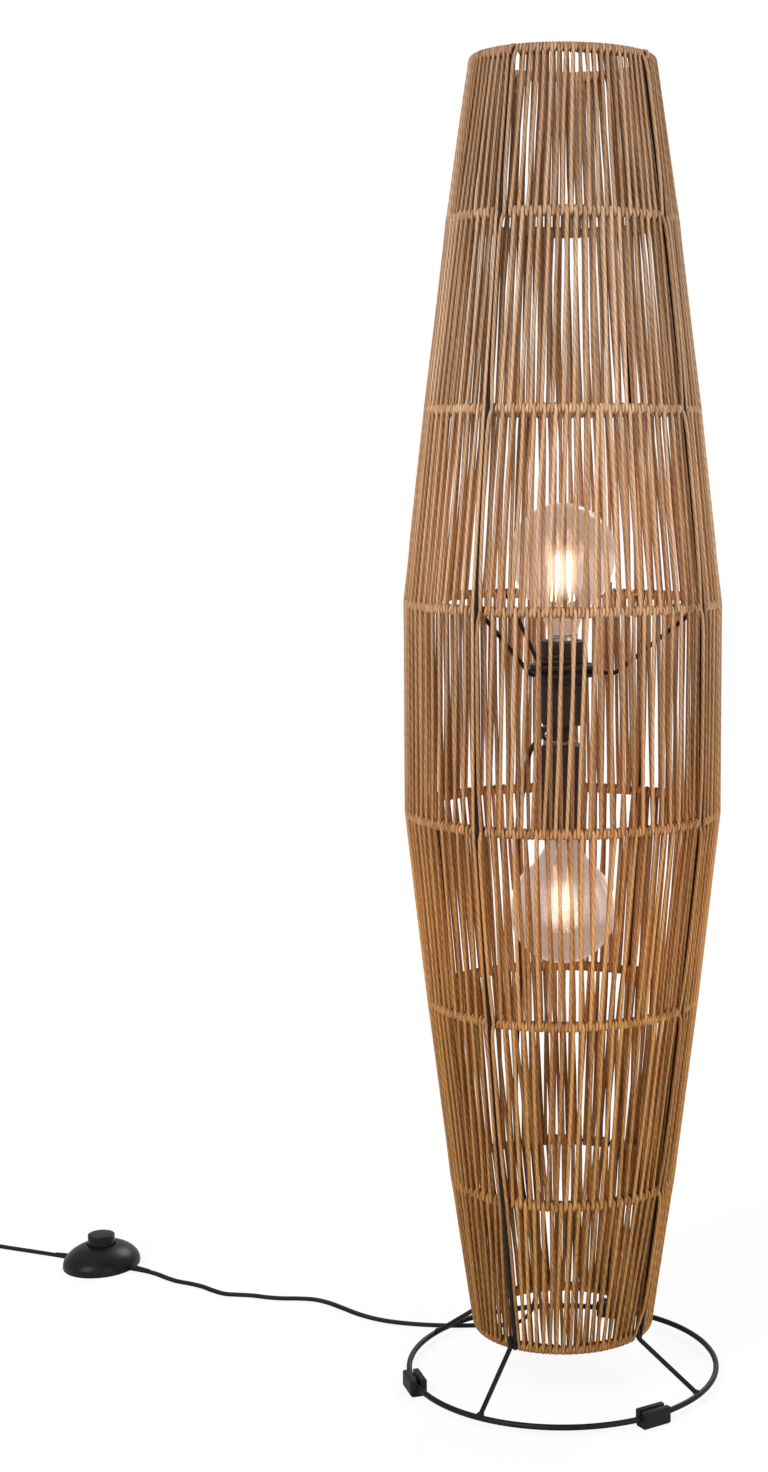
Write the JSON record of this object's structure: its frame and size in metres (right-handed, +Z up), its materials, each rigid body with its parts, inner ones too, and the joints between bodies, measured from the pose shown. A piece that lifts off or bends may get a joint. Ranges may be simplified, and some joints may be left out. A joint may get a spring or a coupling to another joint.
{
  "type": "floor lamp",
  "caption": "Barrel-shaped floor lamp of paper cord wound on a black wire frame, with globe bulbs back to back inside, a ring base on clip-on feet, and a mains lead with foot switch and plug.",
  "frame": {"origin": "centre of the base ring, on the floor under the shade's axis", "axes": "+Z up along the shade's axis, -Y towards the viewer of the picture, +X to the viewer's right, away from the foot switch"},
  "size_m": [0.86, 0.4863, 1.1602],
  "materials": {
    "paper_cord": "twisted paper cord in a natural straw brown, matt",
    "black_wire": "satin black powder coat on steel wire",
    "black_plastic": "smooth black plastic",
    "black_rubber": "soft black rubber and cord sheath",
    "brass": "plain drawn brass",
    "nickel_plate": "bright nickel plate",
    "clear_glass": "clear blown glass",
    "filament": "yellow coated light-emitting filament"
  },
  "bodies": {
    "lamp": {"ring_1": "black_wire", "ring_2": "black_wire", "ring_3": "black_wire", "ring_4": "black_wire", "ring_5": "black_wire", "ring_6": "black_wire", "ring_7": "black_wire", "ring_8": "black_wire", "upright_front_left": "black_wire", "upright_front_right": "black_wire", "upright_back_right": "black_wire", "upright_back_left": "black_wire", "spoke_front_left": "black_wire", "spoke_front_right": "black_wire", "spoke_back_right": "black_wire", "spoke_back_left": "black_wire", "base_ring": "black_wire", "foot_left": "black_rubber", "foot_front": "black_rubber", "foot_back": "black_rubber", "carrier_washer": "black_wire", "carrier_arm_front_left": "black_wire", "carrier_arm_front_right": "black_wire", "carrier_arm_back": "black_wire", "winding_1": "paper_cord", "winding_2": "paper_cord", "winding_3": "paper_cord", "winding_4": "paper_cord", "winding_5": "paper_cord", "winding_6": "paper_cord", "winding_7": "paper_cord", "clamp_ring_upper": "black_plastic", "clamp_ring_lower": "black_plastic", "upper_holder_cup": "black_plastic", "upper_holder_skirt": "black_plastic", "upper_holder_shell": "brass", "lower_holder_cup": "black_plastic", "lower_holder_skirt": "black_plastic", "lower_holder_shell": "brass", "nipple": "brass", "cord_grip": "black_plastic", "lead_to_switch": "black_rubber", "switch_base": "black_plastic", "switch_cover": "black_plastic", "switch_contact": "black_plastic", "lead_to_plug": "black_rubber", "lead_coil": "black_rubber", "coil_tie": "black_rubber", "plug_body": "black_plastic", "plug_pin_left": "nickel_plate", "plug_pin_right": "nickel_plate"},
    "upper_bulb": {"upper_bulb_glass": "clear_glass", "upper_bulb_cap": "nickel_plate", "upper_bulb_stem": "clear_glass", "upper_bulb_filaments": "filament"},
    "lower_bulb": {"lower_bulb_glass": "clear_glass", "lower_bulb_cap": "nickel_plate", "lower_bulb_stem": "clear_glass", "lower_bulb_filaments": "filament"},
    "button": {"switch_button": "black_plastic"}
  },
  "joints": [
    {"name": "upper_bulb_out", "type": "slide", "parent": "lamp", "child": "upper_bulb", "axis": [0, 0, 1], "range_m": [0, 0.026]},
    {"name": "lower_bulb_out", "type": "slide", "parent": "lamp", "child": "lower_bulb", "axis": [0, 0, -1], "range_m": [0, 0.026]},
    {"name": "button_press", "type": "slide", "parent": "lamp", "child": "button", "axis": [0, 0, -1], "range_m": [0, 0.004], "stiffness_N_per_m": 2000}
  ]
}
